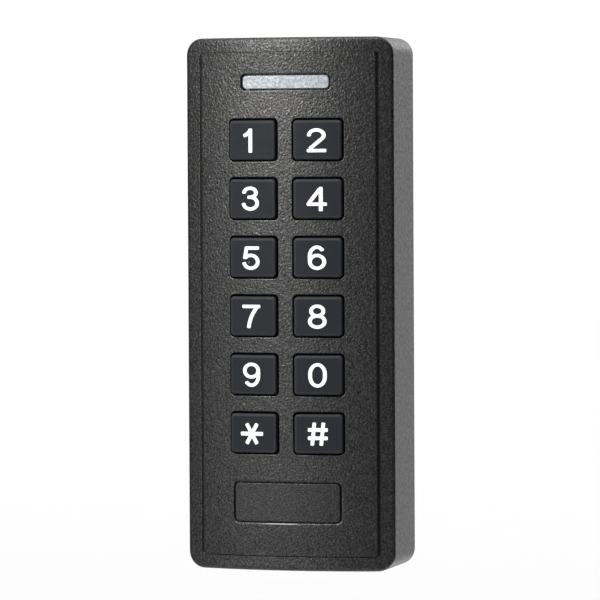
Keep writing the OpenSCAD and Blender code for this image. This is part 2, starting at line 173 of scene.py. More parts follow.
# mounting plate
PLATE_T = 2.4
PLATE_R = 1.3
PLATE_EDGE = 0.3
HOLE_EDGE = 0.25
CABLE_HOLE_R = 8.0
WALL_HOLE_R = 2.2
WALL_HEAD_R = 4.1
WALL_HEAD_DEEP = 1.0
GANG_PITCH, BOX_PITCH = 83.3, 60.0
CHANNEL_X = 15.0
CHANNEL_W, CHANNEL_H, CHANNEL_R = 6.0, 96.0, 2.0
CHANNEL_DEEP = 0.6
CHANNEL_SLOPE = 0.1
BOSS_W, BOSS_H, BOSS_R = 9.0, 6.6, 0.4
# how far the boss and the hooks' feet reach into the plate
ROOTED = 0.3
HOOK_X, HOOK_Y = 10.0, -5.0
HOOK_W, HOOK_T, HOOK_FOOT = 8.0, 1.6, 2.4
HOOK_FOOT_Y = HOOK_Y + 0.8
HOOK_FOOT_R, HOOK_FOOT_EDGE = 0.2, 0.2
HOOK_R, HOOK_EDGE = 0.3, 0.3
HOOK_REACH, HOOK_GAP = 1.0, 0.3
POCKET_R, POCKET_EDGE = 0.2, 0.1

# how finely the outlines are divided: parts across, parts up and steps round a corner
BODY_MESH = {"across": 29, "up": 42, "arc": 10}
GROOVE_MESH = {"across": 29, "up": 50, "arc": 4}
KEY_MESH = {"across": 8, "up": 6, "arc": 6}
BAR_MESH = {"across": 16, "up": 2, "arc": 6}
LENS_MESH = {"across": 16, "up": 3, "arc": 6}
BADGE_MESH = {"across": 18, "up": 6, "arc": 6}
RIB_MESH = {"across": 20, "up": 50, "arc": 4}
PLATE_MESH = {"across": 16, "up": 42, "arc": 6}
CHANNEL_MESH = {"across": 4, "up": 36, "arc": 6}
SMALL_MESH = {"arc": 2}
ROUND = 32
PLUNGER_ROUND, CABLE_HOLE_ROUND = 24, 48
EDGE_STEPS = 6
# rows of vertices along the cover's side walls
WALL_ROWS = (-12, -6)
# rows of vertices that hold a rounded edge's shading stand this far off it
HOLD, WALL_HOLD, FINE_HOLD = 0.2, 0.3, 0.1
# an edge that turns by more than this many degrees is shaded sharp
SHARP = 35
# points closer than this are one point, on a surface and in a legend
SAME, SAME_INK = 1e-5, 1e-4

KEYS = {"key_" + digit: digit for digit in "1234567890"}
KEYS.update(key_star="*", key_hash="#")


# ---------------------------------------------------------------- mesh kit

class Outline:
    """A rectangle with round corners in the X-Z plane: points with the direction that leads outwards."""

    def __init__(self, w, h, r, centre=(0.0, 0.0), across=1, up=1, arc=5):
        self.points = []
        for corner in range(4):
            sx, sz = (1, -1, -1, 1)[corner], (1, 1, -1, -1)[corner]
            cx, cz = centre[0] + sx * (w / 2 - r), centre[1] + sz * (h / 2 - r)
            for step in range(arc + 1):
                turn = math.radians(90 * (corner + step / arc))
                nx, nz = math.cos(turn), math.sin(turn)
                self.points.append((cx + r * nx, cz + r * nz, nx, nz))
            x, z, nx, nz = self.points[-1]
            parts, run = ((across, w), (up, h))[corner % 2]
            for step in range(1, parts):
                along = (run - 2 * r) * step / parts
                self.points.append((x - nz * along, z + nx * along, nx, nz))

    def at(self, grow=0.0):
        """The outline's points, moved outwards by grow."""
        return [(x + nx * grow, z + nz * grow) for x, z, nx, nz in self.points]


class Circle(Outline):
    """A circle in the X-Z plane."""

    def __init__(self, r, centre=(0.0, 0.0), count=ROUND):
        self.points = []
        for step in range(count):
            turn = 2 * math.pi * step / count
            nx, nz = math.cos(turn), math.sin(turn)
            self.points.append((centre[0] + r * nx, centre[1] + r * nz, nx, nz))


def crown(lift):
    """The crowned front surface, lifted off itself, as a function that gives Y."""
    return lambda x, z: AXIS_Y - math.sqrt((CROWN_R + lift) ** 2 - x * x)


def plane(y):
    """A flat surface across the reader, as a function that gives Y."""
    return lambda x, z: y


def quarter(count):
    """Sine and cosine of the angles from 0 to 90 degrees in count steps."""
    turns = [math.pi / 2 * step / count for step in range(count + 1)]
    return [(math.sin(turn), math.cos(turn)) for turn in turns]


class Shape:
    """A mesh being built, in millimetres."""

    def __init__(self):
        self.bm = bmesh.new()

    def loop(self, points, surface):
        """A closed row of vertices on a surface."""
        return [self.bm.verts.new((x, surface(x, z), z)) for x, z in points]

    def skin(self, *loops, material=0):
        """Quads from each loop to the next."""
        for a, b in zip(loops, loops[1:]):
            for i in range(len(a)):
                j = (i + 1) % len(a)
                self.bm.faces.new((a[i], a[j], b[j], b[i])).material_index = material

    def sheet(self, loops, surface, step=1.5):
        """Fills the space between loops, even-odd, with triangles that follow a surface."""
        rim = [v for loop in loops for v in loop]
        flat = [Vector((v.co.x, v.co.z)) for v in rim]
        edges, start = [], 0
        for loop in loops:
            edges += [(start + i, start + (i + 1) % len(loop)) for i in range(len(loop))]
            start += len(loop)
        inner = grid_clear_of(flat, step)
        ends = np.array([[*flat[a], *flat[b]] for a, b in edges])
        found = delaunay_2d_cdt(flat + inner, edges, [], 0, SAME, True)
        made = []
        for ids in found[3]:
            known = [i for i in ids if i < len(rim)]
            made.append(rim[known[0]] if known else None)
        for tri in found[2]:
            if not inside(middle_of(tri, found[0]), ends):
                continue
            for i in tri:
                if made[i] is None:
                    x, z = found[0][i]
                    made[i] = self.bm.verts.new((x, surface(x, z), z))
            self.bm.faces.new([made[i] for i in tri])

    def prism(self, outline, front, back, edge):
        """A closed block from one plane to another with rounded front and back edges."""
        round_in = [(edge * (c - 1), edge * (1 - s)) for s, c in quarter(3)]
        loops = [self.loop(outline.at(g), plane(front + d)) for g, d in reversed(round_in)]
        loops += [self.loop(outline.at(g), plane(back - d)) for g, d in round_in]
        self.skin(*loops)
        for end in (loops[0], loops[-1]):
            self.bm.faces.new(end)

    def piece(self, name):
        """The finished object, in metres, smooth but for its sharp edges."""
        bmesh.ops.recalc_face_normals(self.bm, faces=self.bm.faces)
        mesh = mesh_from(name, self.bm)
        mesh.transform(Matrix.Scale(MM, 4))
        shade(mesh)
        return in_scene(name, mesh)


def grid_clear_of(rim, step):
    """The points of a grid over a rim's box that keep about half a step away from the rim's points."""
    clear = 0.55 * step
    tree = KDTree(len(rim))
    for i, p in enumerate(rim):
        tree.insert((p.x, p.y, 0), i)
    tree.balance()
    lo = Vector((min(p.x for p in rim), min(p.y for p in rim)))
    hi = Vector((max(p.x for p in rim), max(p.y for p in rim)))
    n_x, n_z = (max(1, round(size / step)) for size in hi - lo)
    points = []
    for i in range(1, n_x):
        for k in range(1, n_z):
            p = Vector((lo.x + (hi.x - lo.x) * i / n_x, lo.y + (hi.y - lo.y) * k / n_z))
            if tree.find((p.x, p.y, 0))[2] > clear:
                points.append(p)
    return points


def middle_of(tri, points):
    """The middle of a triangle that is given by its points' numbers."""
    return sum((points[i] for i in tri), Vector((0, 0))) / 3


def inside(point, ends):
    """Whether a point is within an even-odd outline given as rows of edge ends."""
    x0, z0, x1, z1 = ends.T
    spans = (z0 > point.y) != (z1 > point.y)
    x0, z0, x1, z1 = x0[spans], z0[spans], x1[spans], z1[spans]
    return np.count_nonzero(x0 + (point.y - z0) * (x1 - x0) / (z1 - z0) > point.x) % 2 == 1


def mesh_from(name, bm):
    """A mesh made from a bmesh, which is then freed."""
    mesh = bpy.data.meshes.new(name)
    bm.to_mesh(mesh)
    bm.free()
    return mesh


def in_scene(name, data):
    """A new object in the scene."""
    obj = bpy.data.objects.new(name, data)
    bpy.context.scene.collection.objects.link(obj)
    return obj


def shade(mesh):
    """Smooth shading, with the edges that turn a lot left sharp."""
    for polygon in mesh.polygons:
        polygon.use_smooth = True
    mesh.set_sharp_from_angle(angle=math.radians(SHARP))


def cut(piece, cutter, merge=False):
    """Takes one closed mesh away from another, and merges the first one's overlapping parts if asked."""
    tool = piece.modifiers.new("cut", "BOOLEAN")
    tool.object = cutter
    tool.operation = "DIFFERENCE"
    tool.solver = "EXACT"
    tool.use_self = merge
    graph = bpy.context.evaluated_depsgraph_get()
    mesh = bpy.data.meshes.new_from_object(piece.evaluated_get(graph))
    piece.modifiers.clear()
    old = piece.data
    piece.data = mesh
    bpy.data.meshes.remove(old)
    mesh.name = piece.name
    bpy.data.objects.remove(cutter)
    shade(mesh)


def bore(rings):
    """A cutter for the security screw's hole, turned round the screw: rings of (z, radius)."""
    lo, hi = node_box("security_screw")
    axis = Vector((0, (lo.y + hi.y) / 2, 0))
    shape = Shape()
    rows = []
    for z, radius in rings:
        turns = [2 * math.pi * step / ROUND for step in range(ROUND)]
        places = [Vector((radius * math.cos(turn), radius * math.sin(turn), z)) for turn in turns]
        rows.append([shape.bm.verts.new(axis + place) for place in places])
    shape.skin(*rows)
    for end in (rows[0], rows[-1]):
        shape.bm.faces.new(end)
    return shape.piece("cutter")


# ---------------------------------------------------------------- front cover

def face(lift=0.0):
    """The cover's own front surface: the crown with the sinks and swells that moulding leaves in it."""
    smooth = crown(lift)

    def sunk(x, z):
        total = 0
        for middle, across, up, deep in SINKS:
            total += deep * math.exp(-((x / across) ** 2) - ((z - middle) / up) ** 2)
        return total

    return lambda x, z: smooth(x, z) + sunk(x, z)


def key_outline(node):
    """The outline of a key's cap."""
    return Outline(KEY_W, KEY_H, KEY_R, node_middle(node), **KEY_MESH)


def key_opening(node):
    """The outline of a key's opening in the cover, with the gaps that the keypad's fit leaves."""
    x, z = node_middle(node)
    left, right = SIDE_GAPS[x > 0]
    middle = (x + (right - left) / 2, z + (TOP_GAP - BOTTOM_GAP) / 2)
    return Outline(KEY_W + left + right, KEY_H + BOTTOM_GAP + TOP_GAP, KEY_HOLE_R, middle, **KEY_MESH)


def bar_outline():
    """The outline of the light bar's opening."""
    return Outline(BAR_W, BAR_H, BAR_R, (0, node_middle("led_lens")[1]), **BAR_MESH)


def badge_outline(gap, r):
    """The outline of the badge's recess, or of what leaves a gap inside it."""
    middle = (0, node_middle("badge_plate")[1])
    return Outline(BADGE_W - 2 * gap, BADGE_H - 2 * gap, r, middle, **BADGE_MESH)


def cover_shell(shape):
    """The cover's outside and inner walls; gives the loops round its front, outside and inside."""
    outer = Outline(WIDTH, HEIGHT, CORNER_R, **BODY_MESH)
    border = shape.loop(outer.at(-EDGE_R - HOLD), face())
    edge = [edge_loop(shape, outer, step / EDGE_STEPS) for step in range(EDGE_STEPS, -1, -1)]
    wall = [[shape.bm.verts.new(v.co + Vector((0, WALL_HOLD, 0))) for v in edge[-1]]]
    for y in (*WALL_ROWS, -RIM_R - WALL_HOLD):
        wall.append(shape.loop(outer.at(), plane(y)))
    rim = [shape.loop(outer.at(RIM_R * (c - 1)), plane(RIM_R * (s - 1))) for s, c in quarter(3)]

    # inside: the walls behind the ledge, the ledge and the walls in front of it
    back = Outline(WIDTH - 2 * WALL_T, HEIGHT - 2 * WALL_T, CORNER_R - WALL_T, **BODY_MESH)
    inset = WALL_T + LEDGE_W
    room = Outline(WIDTH - 2 * inset, HEIGHT - 2 * inset, ROOM_R, **BODY_MESH)
    rim.append(shape.loop(back.at(HOLD), plane(0)))
    rim.append(shape.loop(back.at(), plane(-HOLD)))
    inner = [shape.loop(back.at(), plane(LEDGE_Y)), shape.loop(room.at(), plane(LEDGE_Y))]
    inner.append(shape.loop(room.at(), crown(-FRONT_T)))
    shape.skin(border, *edge, *wall, *rim, *inner)
    return border, inner[-1]


def edge_loop(shape, outer, share):
    """A loop of the round edge between the sides and the front, which it meets at the crown's slope."""
    points = []
    for x, z, nx, nz in outer.points:
        slope = nx * x / math.sqrt(CROWN_R ** 2 - x * x)
        end = math.atan2(1, slope)
        turn = end * share
        x_end = x - nx * EDGE_R * (1 - math.cos(end))
        inset = EDGE_R * (1 - math.cos(turn))
        y = face()(x_end, z) + EDGE_R * (math.sin(end) - math.sin(turn))
        points.append((x - nx * inset, y, z - nz * inset))
    return [shape.bm.verts.new(p) for p in points]


def line_groove(shape):
    """The groove round the face; gives its outer and its inner loop."""
    w, h = WIDTH - 2 * GROOVE_SIDE, HEIGHT - 2 * GROOVE_END
    outline = Outline(w, h, GROOVE_R, (GROOVE_SHIFT, 0), **GROOVE_MESH)
    section = GROOVE_FLANK + [(-across, down) for across, down in reversed(GROOVE_FLANK[:-1])]
    rows = []
    for across, down in section:
        row = []
        for x, z, nx, nz in outline.points:
            side = GROOVE_RIGHT if nx > 0 else GROOVE_LEFT
            end = GROOVE_TOP if nz > 0 else GROOVE_BOTTOM
            half, deep = (b + (a - b) * nx ** 2 for a, b in zip(side, end))
            x, z = x + nx * across * half, z + nz * across * half
            row.append(shape.bm.verts.new((x, face(-down * deep)(x, z), z)))
        rows.append(row)
    shape.skin(*rows)
    return rows[0], rows[-1]


def opening(shape, outline, edge, bottom, hold=HOLD, drop=None):
    """An opening's rounded edge and its wall down to a lift; gives its rim and its lowest loop."""
    rim = shape.loop(outline.at(edge + hold), face())
    loops = [rim]
    for s, c in quarter(5):
        loops.append(shape.loop(outline.at(edge * (1 - s)), face(-(drop or edge) * (1 - c))))
    loops.append(shape.loop(outline.at(), crown(bottom)))
    shape.skin(*loops[:2])
    shape.skin(*loops[1:], material=1)
    return rim, loops[-1]


def badge_recess(shape):
    """The badge's recess, smooth on a stretch of its lower lip; gives its rim and its lowest loop."""
    others = set(shape.bm.faces)
    outline = badge_outline(0, BADGE_R)
    rim, low = opening(shape, outline, BADGE_EDGE, -BADGE_DEEP, FINE_HOLD, BADGE_EDGE / 2)
    mid_z = sum(v.co.z for v in low) / len(low)
    for wall in set(shape.bm.faces) - others:
        middle = wall.calc_center_median()
        if middle.z > mid_z or not BADGE_SMOOTH[0] < middle.x < BADGE_SMOOTH[1]:
            wall.material_index = 0
    return rim, low


def rib(shape):
    """The rib that presses on the keypad's mat; gives the two loops where it meets the front wall."""
    lo, hi = node_box("keypad_mat")
    w, h = hi.x - lo.x - MAT_MARGIN, hi.z - lo.z - MAT_MARGIN
    centre = (0, node_middle("keypad_mat")[1])
    feet, tops = [], []
    for t in (0, RIB_T):
        outline = Outline(w - 2 * t, h - 2 * t, RIB_R - t, centre, **RIB_MESH)
        feet.append(shape.loop(outline.at(), crown(-FRONT_T)))
        tops.append(shape.loop(outline.at(), plane(lo.y)))
        shape.skin(feet[-1], tops[-1])
    shape.skin(*tops)
    return feet


def screw_posts(shape, node, r, y):
    """The posts for a node's four screws, which end at y; gives their loops on the front wall."""
    lo, hi = node_box(node)
    feet = []
    for x in (lo.x + HEAD_R, hi.x - HEAD_R):
        for z in (lo.z + HEAD_R, hi.z - HEAD_R):
            post, pilot = Circle(r, (x, z)), Circle(PILOT_R, (x, z))
            feet.append(shape.loop(post.at(), crown(-FRONT_T)))
            floor = shape.loop(pilot.at(), plane(y - PILOT_DEEP))
            mouth = [shape.loop(post.at(), plane(y)), shape.loop(pilot.at(), plane(y))]
            shape.skin(feet[-1], *mouth, floor)
            shape.bm.faces.new(floor)
    return feet


def security_bore():
    """What the security screw's stepped hole takes away from the bottom wall."""
    bottom = node_box("security_screw")[0].z
    seat = bottom + SEAT_DEEP
    head = [(bottom - OVERCUT, SEAT_MOUTH_R), (bottom, SEAT_R), (seat, SEAT_R)]
    return bore(head + [(seat, SHANK_HOLE_R), (seat + SHANK_HOLE_DEEP, SHANK_HOLE_R)])


def hook_pocket(x):
    """What the pocket for one of the plate's hooks takes away from the inside of the top wall."""
    middle = (x, HEIGHT / 2 - WALL_T)
    tall = 2 * (HOOK_REACH + HOOK_GAP)
    shape = Shape()
    pocket = Outline(HOOK_W + 2 * HOOK_GAP, tall, POCKET_R, middle, **SMALL_MESH)
    shape.prism(pocket, HOOK_Y - HOOK_GAP, HOOK_Y + HOOK_T + HOOK_GAP, POCKET_EDGE)
    return shape.piece("cutter")


def front_cover():
    """The deep one-piece cover with its openings, groove, recess, rib and screw posts."""
    shape = Shape()
    border, inner = cover_shell(shape)
    groove_out, groove_in = line_groove(shape)
    shape.sheet([border, groove_out], face(), step=1.2)

    # openings for the keys and the light bar go right through, and the badge's recess has a floor
    holes = [opening(shape, key_opening(node), KEY_HOLE_EDGE, -FRONT_T) for node in KEYS]
    holes.append(opening(shape, bar_outline(), BAR_EDGE, -FRONT_T))
    badge_rim, badge_floor = badge_recess(shape)
    shape.sheet([groove_in, badge_rim] + [rim for rim, _ in holes], face())
    shape.sheet([badge_floor], crown(-BADGE_DEEP))

    # the rib and the screw posts grow from the inside of the front wall
    feet = [low for _, low in holes] + rib(shape)
    feet += screw_posts(shape, "board_screws", BOARD_POST_R, node_box("main_board")[0].y)
    feet += screw_posts(shape, "rear_cover_screws", REAR_POST_R, LEDGE_Y)
    shape.sheet([inner] + feet, crown(-FRONT_T))
    cover = shape.piece("front_cover_shell")
    cut(cover, security_bore())
    for x in (-HOOK_X, HOOK_X):
        cut(cover, hook_pocket(x))
    return cover


# ---------------------------------------------------------------- light bar and badge

def faced_block(shape, outline, lift, edge, back, flange=None, step=1.5):
    """A block with a crowned face and a rounded edge, and a flange if asked; gives its rear loop."""
    rim = shape.loop(outline.at(-edge - FINE_HOLD), crown(lift))
    loops = [rim]
    for s, c in quarter(4):
        loops.append(shape.loop(outline.at(-edge * (1 - s)), crown(lift - edge * (1 - c))))
    if flange:
        wider, front = flange
        loops += [shape.loop(outline.at(), front), shape.loop(wider.at(), front)]
        outline = wider
    loops.append(shape.loop(outline.at(), back))
    shape.skin(*loops)
    shape.sheet([rim], crown(lift), step)
    return loops[-1]


def light_bar_lens():
    """The milky lens of the light bar, sunk a little in its opening, with a flange behind the cover."""
    lo, hi = node_box("led_lens")
    middle = (0, node_middle("led_lens")[1])
    lens = Outline(BAR_W - 2 * BAR_GAP, BAR_H - 2 * BAR_GAP, LENS_R, middle, **LENS_MESH)
    flange = Outline(hi.x - lo.x, hi.z - lo.z, BAR_R, middle, **LENS_MESH)
    front = crown(-FRONT_T - LENS_FLANGE_GAP)
    shape = Shape()
    rear = faced_block(shape, lens, -BAR_DROP, LENS_EDGE, plane(hi.y), (flange, front))
    shape.sheet([rear], plane(hi.y), step=3)
    return shape.piece("light_bar_lens")


def badge():
    """The blank badge in its recess."""
    back = crown(INLAY_LIFT - INLAY_T)
    shape = Shape()
    rear = faced_block(shape, badge_outline(BADGE_GAP, INLAY_R), INLAY_LIFT, INLAY_EDGE, back)
    shape.sheet([rear], back)
    return shape.piece("badge_inlay")


# ---------------------------------------------------------------- keys

def key_cap(node):
    """A silicone key: crowned cap with a soft edge, flange behind the cover, and plunger."""
    centre = node_middle(node)
    end = node_box(node)[1].y
    flange = Outline(FLANGE_W, FLANGE_H, FLANGE_R, centre, **KEY_MESH)
    front, back = crown(-FRONT_T - FLANGE_GAP), plane(FLANGE_BACK)
    shape = Shape()
    rear = faced_block(shape, key_outline(node), KEY_PROUD, KEY_EDGE, back, (flange, front), 1.2)
    plunger = Circle(PLUNGER_R, centre, PLUNGER_ROUND)
    rows = [shape.loop(plunger.at(), back)]
    for s, c in quarter(2):
        rows.append(shape.loop(plunger.at(PLUNGER_EDGE * (c - 1)), plane(end - PLUNGER_EDGE * (1 - s))))
    shape.skin(*rows)
    shape.bm.faces.new(rows[-1])
    shape.sheet([rear, rows[0]], back, step=2)
    if node == "key_5":
        pip(shape, (centre[0] + PIP_FROM_CENTRE[0], centre[1] + PIP_FROM_CENTRE[1]))
    return shape.piece(node + "_cap")


def pip(shape, centre):
    """The low round pip that a fingertip finds on the middle key, as a closed dome sunk in the face."""
    foot = crown(KEY_PROUD)(*centre)
    rings = []
    for s, c in quarter(5)[:-1]:
        rings.append(shape.loop(Circle(PIP_R * c, centre, PIP_ROUND).at(), plane(foot - PIP_R * s)))
    base = shape.loop(Circle(PIP_R, centre, PIP_ROUND).at(), plane(foot + PIP_SINK))
    tip = shape.bm.verts.new((centre[0], foot - PIP_R, centre[1]))
    shape.skin(base, *rings, material=1)
    for a, b in zip(rings[-1], rings[-1][1:] + rings[-1][:1]):
        shape.bm.faces.new((a, b, tip)).material_index = 1
    shape.bm.faces.new(base)


# ---------------------------------------------------------------- printed legends

def arc(x, z, rx, rz, start, end, count=16):
    """Points along part of an ellipse, from one angle to another in degrees."""
    turns = [math.radians(start + (end - start) * i / count) for i in range(count + 1)]
    return [(x + rx * math.cos(t), z + rz * math.sin(t)) for t in turns]


def bend(a, b, c):
    """Points along a curve from a to c that heads for b."""
    points = []
    for t in (step / 10 for step in range(11)):
        weights = (1 - t) ** 2, 2 * t * (1 - t), t * t
        points.append(tuple(weights[0] * p + weights[1] * q + weights[2] * r for p, q, r in zip(a, b, c)))
    return points


def strokes(legend):
    """A legend's pen strokes, centred on the key: lists of points, closed where the last is the first."""
    ring = {"start": 0, "end": 360, "count": ROUND}
    if legend == "0":
        side = 0.35
        upper, lower = arc(0, side, 1.8, 2.22, 0, 180), arc(0, -side, 1.8, 2.22, 180, 360)
        return [upper + lower + upper[:1]]
    if legend == "1":
        return [[(0.0, 2.8), (0.0, -3.05)], bend((-1.8, 1.0), (-0.6, 1.4), (-0.1, 2.4))]
    if legend == "2":
        return [arc(0, 1.12, 1.8, 1.27, 192, -38) + [(-1.68, -2.2)], [(-2.35, -2.6), (2.4, -2.6)]]
    if legend == "3":
        return [
            arc(-0.15, 1.5, 1.55, 1.1, 192, -90) + [(-0.85, 0.4)],
            [(-0.85, 0.4)] + arc(-0.08, -1.03, 1.78, 1.43, 90, -182),
        ]
    if legend == "4":
        return [[(1.0, 2.85), (1.0, -3.0)], [(-2.45, -1.3), (2.5, -1.3)], [(0.8, 2.45), (-1.95, -1.1)]]
    if legend == "5":
        return [
            [(-1.6, 2.3), (2.1, 2.3)],
            [(-1.12, 2.5), (-1.62, -0.35)],
            arc(-0.03, -1.02, 1.8, 1.58, 142, -176),
        ]
    if legend == "6":
        tail = [(-1.75, -1.0)] + arc(0, 0.35, 1.75, 2.2, 180, 36)
        return [arc(0.02, -1.0, 1.75, 1.55, **ring), tail]
    if legend == "7":
        return [[(-2.34, 2.36), (2.34, 2.36)], bend((1.62, 2.3), (-0.35, 0.1), (-0.68, -2.9))]
    if legend == "8":
        return [arc(0, 1.33, 1.5, 1.18, **ring), arc(0, -1.2, 1.82, 1.36, **ring)]
    if legend == "9":
        return [[(-x, -z) for x, z in stroke] for stroke in strokes("6")]
    if legend == "*":
        arms = [math.radians(turn) for turn in (0, 62, 118)]
        return [[(x * 2.9 * math.cos(t), x * 2.8 * math.sin(t) - 0.12) for x in (-1, 1)] for t in arms]
    slant = 0.28
    bars = [[(x - slant, -2.8), (x + slant, 2.8)] for x in (-1.1, 1.1)]
    return bars + [[(-2.45, z), (2.45, z)] for z in (-1.0, 1.0)]


def softened(points):
    """An open stroke, in nib widths, with its ends rounded: its points and half its width at each."""
    lengths = np.linalg.norm(np.diff(points, axis=0), axis=1)
    along = np.concatenate([[0], np.cumsum(lengths)])
    start = [(NIB_SOFT * (1 - c), 0.5 - NIB_SOFT * (1 - s)) for s, c in quarter(3)]
    middle = [(d, 0.5) for d in along if NIB_SOFT < d < along[-1] - NIB_SOFT]
    end = [(along[-1] - d, w) for d, w in reversed(start)]
    places, width = np.array(start + middle + end).T
    return np.stack([np.interp(places, along, points[:, k]) for k in (0, 1)], 1), width


def ribbon(path, nib):
    """The two edges of a stroke drawn with an oval nib, with softly rounded ends."""
    closed = math.dist(path[0], path[-1]) < SAME
    points = np.array(path) / nib
    width = np.full(len(points), 0.5)
    if not closed:
        points, width = softened(points)
    before, after = np.roll(points, 1, 0), np.roll(points, -1, 0)
    if closed:
        before[0], after[-1] = points[-2], points[1]
    else:
        before[0], after[-1] = points[0], points[-1]
    ahead = after - before
    ahead /= np.linalg.norm(ahead, axis=1)[:, None]
    aside = np.stack([-ahead[:, 1], ahead[:, 0]], 1) * width[:, None]
    return (points + aside) * nib, (points - aside) * nib


def covered(point, patches):
    """Whether a point lies in any of the four-sided patches."""
    ahead = np.roll(patches, -1, 1) - patches
    away = np.array(point) - patches
    turn = ahead[..., 0] * away[..., 1] - ahead[..., 1] * away[..., 0]
    return bool(((turn > 0).all(1) | (turn < 0).all(1)).any())


def legend_print(node, legend):
    """A printed legend: its strokes joined into one thin closed layer that follows the key's face."""
    key_x, key_z = node_middle(node)
    shift = LEGEND_SHIFTS[key_x > 0]
    nib = np.array(NIBS.get(legend, NIB))
    corners, quads = [], []
    for stroke in strokes(legend):
        left, right = ribbon([(x * LEGEND_SCALE, z * LEGEND_SCALE) for x, z in stroke], nib)
        first = len(corners)
        for a, b in zip(left, right):
            corners += [Vector(a), Vector(b)]
        quads += [[i, i + 1, i + 3, i + 2] for i in range(first, len(corners) - 2, 2)]
    found = delaunay_2d_cdt(corners, [], quads, 0, SAME_INK, True)
    patches = np.array([[corners[i] for i in quad] for quad in quads])
    kept = [tri for tri in found[2] if covered(middle_of(tri, found[0]), patches)]
    shape = Shape()
    places = [(p.x + (key_x + shift), p.y + key_z) for p in found[0]]
    top, bottom = (shape.loop(places, crown(KEY_PROUD + lift)) for lift in (INK_T, -INK_SINK))
    sides = {}
    for tri in kept:
        shape.bm.faces.new([top[i] for i in tri])
        shape.bm.faces.new([bottom[i] for i in reversed(tri)])
        for a, b in zip(tri, tri[1:] + tri[:1]):
            if (b, a) in sides:
                del sides[b, a]
            else:
                sides[a, b] = True
    for a, b in sides:
        shape.bm.faces.new((top[b], top[a], bottom[a], bottom[b]))
    loose = [v for v in shape.bm.verts if not v.link_faces]
    bmesh.ops.delete(shape.bm, geom=loose, context="VERTS")
    return shape.piece(node + "_legend")


# ---------------------------------------------------------------- wall side

def plate_hole(shape, hole, head=None):
    """A hole through the plate, with a seat for a screw's head if asked; gives its back and front rim."""
    bend_in = [(HOLE_EDGE * (1 - s), HOLE_EDGE * (1 - c)) for s, c in quarter(3)]
    rows = [shape.loop(hole.at(out), plane(-down)) for out, down in bend_in]
    if head:
        seat_y = plane(-PLATE_T + WALL_HEAD_DEEP)
        rows += [shape.loop(hole.at(), seat_y), shape.loop(head.at(), seat_y)]
        hole = head
    rows += [shape.loop(hole.at(down), plane(-PLATE_T + out)) for out, down in bend_in]
    shape.skin(*rows)
    return rows[0], rows[-1]


def channel(shape, x):
    """A shallow upright channel in the plate's back; gives its rim."""
    outline = Outline(CHANNEL_W, CHANNEL_H, CHANNEL_R, (x, 0), **CHANNEL_MESH)
    rows = []
    for s, c in quarter(3):
        rows.append(shape.loop(outline.at(HOLE_EDGE * (1 - s)), plane(-HOLE_EDGE * (1 - c))))
    rows.append(shape.loop(outline.at(-CHANNEL_SLOPE), plane(-CHANNEL_DEEP)))
    shape.skin(*rows)
    shape.sheet([rows[-1]], plane(-CHANNEL_DEEP), step=3)
    return rows[0]


def hook(shape, x, foot_z, top_z, tip_z):
    """One of the plate's two hooks: a foot on the plate and a tip that reaches up."""
    foot = Outline(HOOK_W, top_z - foot_z, HOOK_FOOT_R, (x, (foot_z + top_z) / 2), **SMALL_MESH)
    tip = Outline(HOOK_W, tip_z - foot_z, HOOK_R, (x, (foot_z + tip_z) / 2), **SMALL_MESH)
    shape.prism(foot, HOOK_FOOT_Y, -PLATE_T + ROOTED, HOOK_FOOT_EDGE)
    shape.prism(tip, HOOK_Y, HOOK_Y + HOOK_T, HOOK_EDGE)


def mounting_plate():
    """The plate that is screwed to the wall, with its holes, hooks and the security screw's boss."""
    lo, hi = node_box("mounting_plate")
    w, top_z = hi.x - lo.x, -lo.z
    outline = Outline(w, 2 * top_z, PLATE_R, **PLATE_MESH)
    round_in = [(PLATE_EDGE * (c - 1), PLATE_EDGE * (1 - s)) for s, c in quarter(3)]
    shape = Shape()
    front = [shape.loop(outline.at(grow), plane(-PLATE_T + down)) for grow, down in round_in]
    back = [shape.loop(outline.at(grow), plane(-down)) for grow, down in round_in]
    shape.skin(*reversed(front), *back)

    rims = [(back[-1], front[-1]), plate_hole(shape, Circle(CABLE_HOLE_R, count=CABLE_HOLE_ROUND))]
    for pitch in (GANG_PITCH, BOX_PITCH):
        for z in (-pitch / 2, pitch / 2):
            rims.append(plate_hole(shape, Circle(WALL_HOLE_R, (0, z)), Circle(WALL_HEAD_R, (0, z))))
    channels = [channel(shape, x) for x in (-CHANNEL_X, CHANNEL_X)]
    shape.sheet([rim for rim, _ in rims] + channels, plane(0), step=2.5)
    shape.sheet([rim for _, rim in rims], plane(-PLATE_T), step=2.5)

    for x in (-HOOK_X, HOOK_X):
        hook(shape, x, top_z - HOOK_FOOT, top_z, hi.z)
    boss = Outline(BOSS_W, BOSS_H, BOSS_R, (0, -top_z + BOSS_H / 2), **SMALL_MESH)
    shape.prism(boss, lo.y, -PLATE_T + ROOTED, PLATE_EDGE)
    plate = shape.piece("wall_plate")
    ends = (-top_z - OVERCUT, -top_z + SCREW_BORE_DEEP)
    cut(plate, bore([(z, SCREW_BORE_R) for z in ends]), merge=True)
    return plate


# ---------------------------------------------------------------- materials

def shader(name):
    """A new material, its node tree and its shader."""
    made = bpy.data.materials.new(name)
    made.use_nodes = True
    tree = made.node_tree
    return made, tree, tree.nodes["Principled BSDF"]


